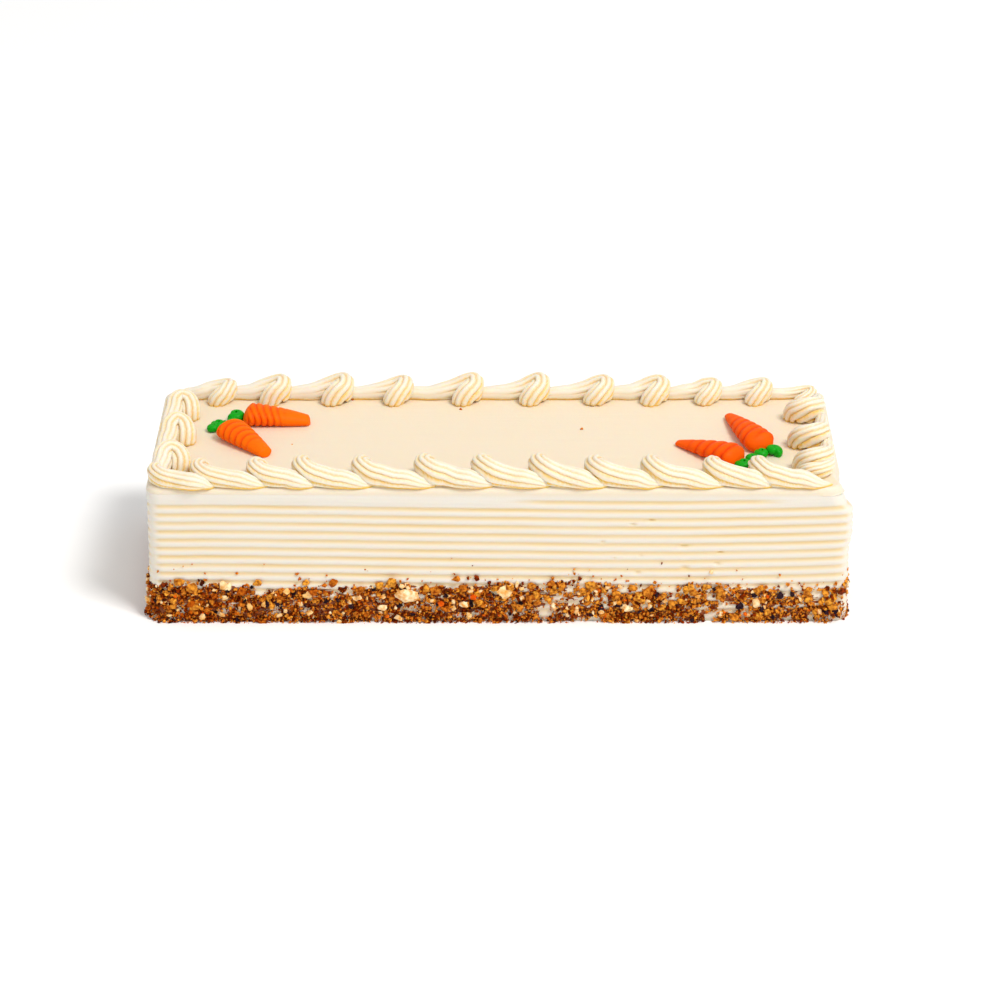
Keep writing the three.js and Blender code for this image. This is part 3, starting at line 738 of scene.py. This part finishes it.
def shellPlan(spec):
    # each shell's node name, place, turn, height and tail, in piping order
    plan = []
    for side in ("front", "right", "back", "left"):
        turn, inset, lastTail, heads = spec[side]
        for i, (place, height) in enumerate(heads):
            nodeName = "shell_%s_%02d" % (side, i + 1)
            across = icing["width"] / 2 / mm - inset + spec["hangs"].get(nodeName, 0)
            end = icing["length"] / 2 / mm - inset
            x, y = {"front": (place, -across), "right": (end, place),
                    "back": (place, across), "left": (-end, place)}[side]
            tail = abs(heads[i + 1][0] - place) + spec["overlap"] if i + 1 < len(heads) else lastTail
            plan.append((nodeName, side, x * mm, y * mm, turn, height, tail))
    return plan


def pipeShell(nodeName, side, x, y, turn, height, tail, spec):
    draw = random.Random(nodeName)
    tall = height / spec["headHeight"]
    stretch = tail / spec["tail"]
    knots = np.array(spec["route"]) * mm
    last = len(knots) - 1
    headOut, tailOut = spec["headOut"][side], spec["tailOut"][side]
    for i, knot in enumerate(knots):
        onTail = max(0, (i - spec["headKnots"] + 1) / (last - spec["headKnots"] + 1))
        squash = tall + (1 - tall) * max(0, (i - spec["headKnots"]) / (last - spec["headKnots"]))
        thin = 1 + (spec["tailShare"][side] - 1) * min(1, 1.6 * onTail)
        thin *= np.interp(onTail, spec["thinFrom"], [1, spec["tailThin"][side]])
        knot[0] *= 1 + (stretch - 1) * onTail
        if knot[1] < 0:
            leanOut = [headOut, tailOut, tailOut, tailOut * spec["tipOut"]]
            knot[1] *= np.interp(i, spec["leanKnots"], leanOut)
        knot[2] -= spec["tailDrop"][side] * mm * min(1, 2 * onTail) * (1 - onTail)
        if i < len(spec["settle"]):
            knot[:2] += np.array(spec["startShift"][side]) * spec["settle"][i] * mm
        knot[2] *= squash * thin
        knot[3] *= (0.3 + 0.7 * squash) * thin
        knot[:3] += [draw.uniform(-spec["unsteady"], spec["unsteady"]) * mm for _ in range(3)]
    route = curveThrough(knots, spec["stations"])
    along = np.linspace(0, 1, spec["stations"])
    twist = draw.uniform(0, 0.5) + np.linspace(0, draw.uniform(0.2, 0.9), spec["stations"])
    twist += 0.08 * np.sin(np.linspace(0, draw.uniform(6, 12), spec["stations"]))
    twist -= spec["headTwist"][side] * (1 - smoothStep(0, spec["twistTo"], along))
    fade = np.interp(along, [0, 0.35, 0.6, 1], [1, 1, spec["ridgeFade"][side], 0.3])
    ridges = spec["ridges"][side]
    rings, hollowShades = ropeRings(route, ridges, round(spec["ridgePoints"] / ridges),
                               spec["ridgeDepth"] * fade, twist, 3, 8)
    # painted shade and glow: the lower hollows are painted a deeper gold, for the light that comes
    # through the thin upper ridges
    power, atMiddle, lower, least, most = spec["gold"]
    middle = route[:, None, :3]
    radius = np.maximum(route[:, 3], spec["thinnest"])[:, None]
    lowness = (middle[:, :, 2] - rings[:, :, 2]) / radius
    hollowShades = hollowShades ** power * fade[:, None] * np.clip(atMiddle + lower * lowness, least, most)
    # painted shade: a gold line along the shell's foot where it meets the top
    contact, contactLow, contactHigh = spec["contact"]
    hollowShades = np.maximum(hollowShades, contact * (1 - smoothStep(contactLow, contactHigh, rings[:, :, 2])))
    # the icing under a raised stretch is squeezed down to the top, so the lower half is drawn out
    below = np.maximum(middle[:, :, 2] - rings[:, :, 2], 0)
    share = np.clip(below / radius, 0, 0.97)
    spread = ((1 - share ** 2) ** -spec["squeeze"])[:, :, None]
    rings[:, :, :2] = middle[:, :, :2] + (rings[:, :, :2] - middle[:, :, :2]) * spread
    drawnOut = np.maximum((middle[:, :, 2] + 0.6 * mm) / radius, 1) - 1
    rings[:, :, 2] = np.maximum(rings[:, :, 2] - below * drawnOut, -spec["sunk"])
    place = Matrix.Translation((x, y, topZ)) @ Matrix.Rotation(math.radians(turn), 4, "Z")
    flat = rings.reshape(-1, 3) @ np.array(place.to_3x3()).T + np.array(place.translation)
    piece = sleeve("piped_" + nodeName, flat.reshape(rings.shape))
    tagRings(piece, "hollowShade", hollowShades)
    return finishPiece(piece, pipedIcing, "piped_icing", nodeName)


for planned in shellPlan(shell):
    pipeShell(*planned, shell)
print("piped border:", len(shellPlan(shell)), "shells")


# the carrots: a tapering rope squeezed out in pushes, so that it swells and narrows like a real root

carrot = {
    # crown and tip in plan, in mm
    "laid": {"left_back": ((-124.2, 18.4), (-91.5, 15.8)),
             "left_front": ((-132.0, 4.6), (-110.2, -21.9)),
             "right_front": ((114.2, -31.4), (84.8, -7.3)),
             "right_back": ((125.8, -17.8), (111.6, 24.0))},
    "halfWidth": 8.0 * mm,
    "height": 10.2 * mm,
    # the outline, in shares of the length: a round crown, shoulders at a fifth of it, and a pinched tip
    "crown": 0.16,
    "taperFrom": 0.12,
    "taperPower": 1.45,
    "tipRound": 0.045,
    "tipWidth": {"left_back": 0.45, "left_front": 0.42, "right_front": 0.22, "right_back": 0.26},
    # the creases between the pushes: how many, how deep, how far along, their bend and slant in mm
    "pushes": {"left_back": 7.0, "left_front": 6.2, "right_front": 5.0, "right_back": 5.4},
    "pushDepth": 0.15,
    "creasedTo": {"left_back": 0.7, "left_front": 0.84, "right_front": 0.86, "right_back": 0.86},
    "creaseFade": 0.24,
    "bow": {"left_back": 2.4, "left_front": 2.8, "right_front": 1.6, "right_back": 0.2},
    "slant": {"left_back": -2.4, "left_front": 1.0, "right_front": 0.6, "right_back": -5.0},
    "sunk": 0.4 * mm,            # below the cake's top
    "unsteady": 0.12 * mm,
    "redder": ["right_front", "right_back"],
    "stations": 110,
    "points": 44,
}


def pipeCarrot(where, spec):
    crown, tip = (Vector(p) * mm for p in spec["laid"][where])
    length = (tip - crown).length
    heading = math.atan2(tip.y - crown.y, tip.x - crown.x)
    draw = random.Random(where)
    t = np.linspace(0, 1, spec["stations"])[:, None]
    share = np.arange(spec["points"]) / spec["points"]
    angle = 2 * np.pi * share[None, :]
    across, upward = np.cos(angle), np.sin(angle)
    crownShare = np.clip(t / spec["crown"], 0, 1)
    taper = (np.clip(t - spec["taperFrom"], 0, 1) / (1 - spec["taperFrom"])) ** spec["taperPower"]
    tipShare = np.clip((1.0005 - t) / spec["tipRound"], 0, 1)
    wide = np.sqrt(np.clip(1 - (1 - crownShare) ** 2, 0, 1))
    wide *= 1 - (1 - spec["tipWidth"][where]) * taper
    wide *= np.sqrt(tipShare * (2 - tipShare))
    wide = np.maximum(wide, 0.06)        # so that the ends stay open for the sleeve to fill
    slant = spec["slant"][where] * mm
    bow = spec["bow"][where] * mm
    creased = t * length - bow * (1 - np.maximum(upward, 0) ** 1.5) * (1 - t) - slant * across * (1 - t)
    pushLength = 0.75 * length / spec["pushes"][where]
    phase = (creased / pushLength + 0.12) % 1
    bulge = np.abs(np.sin(np.pi * phase ** 0.8)) ** 0.6
    creasedTo = spec["creasedTo"][where]
    fade = 1 - smoothStep(creasedTo - spec["creaseFade"], creasedTo, t)
    fade = fade * smoothStep(0.05, 0.13, t)
    reach = wide * (1 - spec["pushDepth"] * (1 - bulge) * fade)
    x = t * length + 0 * across
    y = across * reach * spec["halfWidth"]
    z = spec["height"] * (0.5 * reach * upward + 0.42 * wide)
    z = np.maximum(z, -spec["sunk"])
    x, y, z = (v + spec["unsteady"] * draw.uniform(-1, 1) for v in (x, y, z))
    rings = np.stack([x, y, z], axis=2)
    place = Matrix.Translation((crown.x, crown.y, topZ)) @ Matrix.Rotation(heading, 4, "Z")
    flat = rings.reshape(-1, 3) @ np.array(place.to_3x3()).T + np.array(place.translation)
    piece = sleeve("piped_carrot_" + where, flat.reshape(rings.shape))
    # painted shade: the creases between the pushes take the deeper crease colour
    tagRings(piece, "hollowShade", (1 - bulge) * fade)
    finish = redCarrotIcing if where in spec["redder"] else orangeCarrotIcing
    return finishPiece(piece, finish, "carrot_icing", "carrot_" + where)


for where in carrot["laid"]:
    pipeCarrot(where, carrot)
print("carrots:", len(carrot["laid"]))


# the leaves: two or three dabs of green icing, each wound round once as the nozzle lifts off

leaf = {
    "ropeShare": 0.6,            # the rope's radius and the coil's, as shares of a dab's size
    "coilShare": 0.52,
    "turns": 1.35,
    "rise": 3.4,                 # of the rope's middle, in mm
    "knots": 10,
    "stations": 40,
    "sunk": 0.4 * mm,
    "tone": 0.4,                 # how far the hollows are painted their deeper green: painted shade
    # middle in plan and size of each dab, in mm
    "dabs": {"left_back": [(-127.6, 20.8, 4.8), (-128.8, 16.2, 3.0)],
             "left_front": [(-137.6, 7.6, 3.5), (-135.4, 10.8, 4.0), (-133.2, 13.0, 2.6)],
             "right_front": [(115.6, -34.2, 4.5), (119.8, -29.4, 4.8)],
             "right_back": [(124.9, -21.4, 3.8), (130.4, -19.0, 4.6)]},
}


def pipeLeaf(where, spec):
    dabs = []
    stations = spec["stations"]
    draw = random.Random("leaf" + where)
    for number, (x, y, size) in enumerate(spec["dabs"][where]):
        start = draw.uniform(0, 2 * math.pi)
        knots = []
        for i in range(spec["knots"]):
            t = i / (spec["knots"] - 1)
            around = start + 2 * math.pi * spec["turns"] * t
            coil = spec["coilShare"] * size * (1 - 0.8 * t)
            knots.append((x + coil * math.cos(around), y + coil * math.sin(around),
                          0.3 * size + spec["rise"] * 0.62 * t,
                          spec["ropeShare"] * size * (1 - 0.45 * t)))
        route = curveThrough(np.array(knots) * mm, stations)
        rings, hollowShades = ropeRings(route, 6, 5, np.full(stations, 0.05), np.zeros(stations), 4, 6)
        rings[:, :, 2] = np.maximum(rings[:, :, 2], -spec["sunk"]) + topZ
        dab = sleeve("leafDab" + str(number), rings)
        tagRings(dab, "hollowShade", hollowShades * spec["tone"])
        dabs.append(dab)
    clearSelection()
    for dab in dabs:
        dab.select_set(True)
    bpy.context.view_layer.objects.active = dabs[0]
    bpy.ops.object.join()
    piece = bpy.context.object
    piece.name = piece.data.name = "piped_leaf_" + where
    return finishPiece(piece, leafIcing, "leaf_icing", "leaf_" + where)


for where in leaf["dabs"]:
    pipeLeaf(where, leaf)
print("leaves:", len(leaf["dabs"]))


# the crumbs: lumps moulded once, then copied in their thousands over the foot of the wall

def mouldLumps(fine, count):
    # a few rugged lumps: a ball with its points knocked in and out
    lumps = []
    for seed in range(count):
        clearSelection()
        bpy.ops.mesh.primitive_ico_sphere_add(subdivisions=1, radius=0.5)
        ball = bpy.context.object
        bpy.ops.object.mode_set(mode="EDIT")
        bpy.ops.mesh.select_all(action="SELECT")
        bpy.ops.transform.vertex_random(offset=0.22, uniform=0.7, seed=seed + 3 * fine)
        if fine > 1:
            bpy.ops.mesh.subdivide(number_cuts=1, smoothness=0.4, fractal=1.2, fractal_along_normal=0.5,
                                   seed=seed)
            bpy.ops.transform.vertex_random(offset=0.05, uniform=0.5, seed=seed + 40)
        bpy.ops.object.mode_set(mode="OBJECT")
        points = np.array([v.co for v in ball.data.vertices])
        faces = np.array([tuple(f.vertices) for f in ball.data.polygons])
        lumps.append((points - points.mean(axis=0), faces))
        bpy.data.objects.remove(ball, do_unlink=True)
    return lumps


def leanOver(x, y, z):
    # the crumbs follow the right wall's lean
    behindLip = smoothStep(cakeWall["lipStart"] - icing["width"] / 2, -cakeWall["lipEnd"], y)
    return x - cakeWall["rightLean"] * z / topZ * behindLip * smoothStep(*cakeWall["leanFrom"], x)


def strewnSpots(kind, spec, draw):
    # where each crumb of a kind lies, its size and the way it faces
    spots = []
    while len(spots) < kind["count"]:
        distance = draw.uniform(0, perimeter)
        baked = 0.5 - aroundWall(distance, 0)[0] / icing["length"]
        if draw.random() > spec["thinned"].get(kind["name"], 1) + baked:
            continue
        top = bandTop(distance, spec)
        z = top * draw.random() ** kind["power"]
        if draw.random() < kind["stray"]:
            z = top + draw.expovariate(1 / spec["strayReach"])
        elif bareness(distance, z, spec) > draw.uniform(*spec["bareFrom"]):
            continue
        smallest, largest = kind["size"]
        size = (smallest + (largest - smallest) * draw.random() ** spec["sizePower"]) * mm
        heap = spec["bulge"] * max(0, 1 - z / spec["bulgeHeight"]) ** spec["bulgePower"]
        out = size * draw.uniform(*spec["standOut"]) + heap * draw.random()
        out += icing["flare"] * (1 - z / topZ)
        faceX, faceY = aroundWall(distance, 0)[2:]
        x, y, faceX, faceY = aroundWall(distance, out * (1 - spec["flatterRight"] * max(0, faceX)))
        spots.append((leanOver(x, y, z), y, z, size, faceX, faceY))
    outBy, share = spec["placedOut"]
    for along, up, size in spec["placed"].get(kind["name"], []):
        y = -icing["width"] / 2 - outBy - share * size * mm
        spots.append((along * mm, y, up * mm, size * mm, 0, -1))
    return spots


def crumbMesh(name, allPoints, allFaces, tones):
    mesh = bpy.data.meshes.new(name)
    mesh.from_pydata(np.vstack(allPoints).tolist(), [], np.vstack(allFaces).tolist())
    mesh.update()
    piece = bpy.data.objects.new(name, mesh)
    bpy.context.scene.collection.objects.link(piece)
    tagVertices(piece, "tone", tones)
    return piece


def strewCrumbs(kind, spec):
    draw = random.Random(kind["name"])
    lumps = mouldLumps(kind["fine"], spec["lumps"])
    allPoints, allFaces, tones = [], [], []
    base = 0
    for x, y, z, size, faceX, faceY in strewnSpots(kind, spec, draw):
        points, faces = lumps[draw.randrange(len(lumps))]
        stretch = np.array([draw.uniform(*spec["stretch"]) for _ in range(3)])
        tumble = Matrix.Rotation(draw.uniform(0, 6.28), 3, "X")
        tumble = tumble @ Matrix.Rotation(draw.uniform(0, 6.28), 3, "Z")
        copy = (points * stretch) @ np.array(tumble).T * size
        if size > spec["flatFrom"]:
            depth = copy[:, :2] @ np.array([faceX, faceY])
            copy[:, :2] -= np.outer(depth * spec["flatShare"], [faceX, faceY])
        copy = copy + np.array([x, y, z])
        for axis, reach in enumerate(spec["reach"]):
            copy[:, axis] = np.clip(copy[:, axis], -reach, reach)
        copy[:, 2] = np.maximum(copy[:, 2], 0)
        allPoints.append(copy)
        allFaces.append(faces + base)
        tones += [draw.random() * (1 - spec["browned"] * (0.5 + x / icing["length"]))] * len(points)
        base += len(points)
    piece = crumbMesh(kind["name"], allPoints, allFaces, tones)
    clearSelection()
    piece.select_set(True)
    bpy.context.view_layer.objects.active = piece
    bpy.ops.object.shade_smooth_by_angle(angle=math.radians(spec["sharpAngle"]))
    return piece


def strewSpecks(spec):
    draw = random.Random("specks")
    lumps = mouldLumps(1, spec["speckLumps"])
    onWall = [(along * mm, -icing["width"] / 2 - spec["speckOut"], up * mm)
              for along, up in spec["specks"]]
    onTop = [(along * mm, inward * mm, topZ) for along, inward in spec["topSpecks"]]
    allPoints, allFaces, tones = [], [], []
    for number, place in enumerate(onWall + onTop):
        points, faces = lumps[number % len(lumps)]
        allPoints.append(points * draw.uniform(*spec["speckSize"]) * mm + np.array(place))
        allFaces.append(faces + number * len(points))
        tones += [draw.random()] * len(points)
    return crumbMesh("strayCrumbs", allPoints, allFaces, tones)


crumbFinish = {
    "caramelCrumbs": caramelCrumb, "caramelClumps": clumpCrust, "crumbDust": caramelCrumb,
    "darkCrumbs": darkCrumb, "raisinPieces": raisinSkin, "nutPieces": nutMeat,
    "carrotShreds": carrotShred}
for kind in crumbBand["mix"]:
    pieces = strewCrumbs(kind, crumbBand)
    slotName = "nuts" if kind["name"] == "nutPieces" else "crumbs"
    finishPiece(pieces, crumbFinish[kind["name"]], slotName, "cake_body")
finishPiece(strewSpecks(crumbBand), caramelCrumb, "crumbs", "cake_body")
print("crumb band:", sum(kind["count"] for kind in crumbBand["mix"]), "crumbs")


# the stage: a white sweep of floor, a soft key light from the right and a wide fill

floor = {"size": 6, "colour": "#FFFFFF", "roughness": 0.9}
clearSelection()
bpy.ops.mesh.primitive_plane_add(size=floor["size"], location=(0, 0, 0))
sweep = bpy.context.object
sweep.name = "studioFloor"
paper = newMaterial("matteWhitePaper")
paperShader = addNode(paper, "ShaderNodeBsdfPrincipled", {"Base Color": linear(floor["colour"]),
                                                          "Roughness": floor["roughness"]})
addNode(paper, "ShaderNodeOutputMaterial", {"Surface": paperShader.outputs["BSDF"]})
sweep.data.materials.append(paper)

lights = [
    {"name": "keySoftbox", "at": (1.7, -1.5, 3.4), "size": 1.2, "power": 112, "colour": "#FFFDFA"},
    {"name": "fillSoftbox", "at": (-1.4, -3.4, 1.8), "size": 3.2, "power": 12, "colour": "#FFFFFF"},
]
lightsAim = Vector((0, 0, 0.03))
skyStrength = 0.62
for light in lights:
    bpy.ops.object.light_add(type="AREA", location=light["at"])
    lamp = bpy.context.object
    lamp.name = light["name"]
    lamp.data.size = light["size"]
    lamp.data.energy = light["power"]
    lamp.data.color = linear(light["colour"])[:3]
    lamp.rotation_euler = (lightsAim - Vector(light["at"])).to_track_quat("-Z", "Y").to_euler()

world = bpy.data.worlds.new("studioSky")
bpy.context.scene.world = world
world.use_nodes = True
background = world.node_tree.nodes["Background"]
background.inputs["Color"].default_value = (1, 1, 1, 1)
background.inputs["Strength"].default_value = skyStrength

# the camera stands straight in front and looks 26 degrees down
camera = {
    "at": (0.00056, -1.46245, 0.74903),
    "tilt": 26,
    "focalPixels": 3354,
    "pictureWidth": 1000,
    "sensor": 36,                # in mm
    "farthest": 20,
}
bpy.ops.object.camera_add(location=camera["at"], rotation=(math.radians(90 - camera["tilt"]), 0, 0))
lens = bpy.context.object
lens.data.sensor_width = camera["sensor"]
lens.data.lens = camera["focalPixels"] * camera["sensor"] / camera["pictureWidth"]
lens.data.clip_end = camera["farthest"]
bpy.context.scene.camera = lens
bpy.context.scene.view_settings.view_transform = "Standard"
